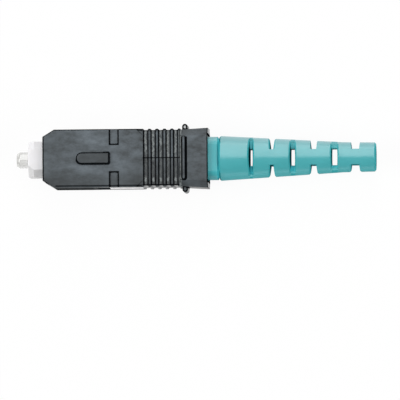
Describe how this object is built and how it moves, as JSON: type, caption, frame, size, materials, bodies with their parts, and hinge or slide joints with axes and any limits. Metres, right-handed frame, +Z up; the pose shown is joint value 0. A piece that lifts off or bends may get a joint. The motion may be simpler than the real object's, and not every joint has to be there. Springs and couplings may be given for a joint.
{
  "type": "sc fibre connector",
  "caption": "Push-pull SC fibre connector with a sliding keyed housing, a sprung ceramic ferrule and a slotted strain relief boot.",
  "frame": {"origin": "middle of the overall box, on the plane the connector lies on", "axes": "X along the fibre from the ferrule to the boot, Y across the housing, Z up through the key"},
  "size_m": [0.0554, 0.0106, 0.0081],
  "materials": {
    "housing_plastic": "satin moulded charcoal",
    "frame_plastic": "moulded white",
    "ferrule_ceramic": "ground zirconia white",
    "flange_metal": "nickel plated",
    "tube_plastic": "natural",
    "spring_steel": "drawn wire",
    "post_metal": "nickel plated",
    "sleeve_metal": "nickel plated",
    "boot_rubber": "matt aqua"
  },
  "bodies": {
    "plug_body": {"plug_frame": "frame_plastic", "back_post": "post_metal", "crimp_sleeve": "sleeve_metal", "spring": "spring_steel", "boot": "boot_rubber"},
    "coupling_housing": {"outer_housing": "housing_plastic"},
    "ferrule_unit": {"ferrule": "ferrule_ceramic", "ferrule_flange": "flange_metal", "buffer_tube": "tube_plastic"}
  },
  "joints": [
    {"name": "housing_slide", "type": "slide", "parent": "plug_body", "child": "coupling_housing", "axis": [1, 0, 0], "range_m": [0, 0.0014]},
    {"name": "ferrule_float", "type": "slide", "parent": "plug_body", "child": "ferrule_unit", "axis": [1, 0, 0], "range_m": [0, 0.001], "stiffness_N_per_m": 20, "springref_m": -0.0005, "deforming": ["spring"]}
  ]
}
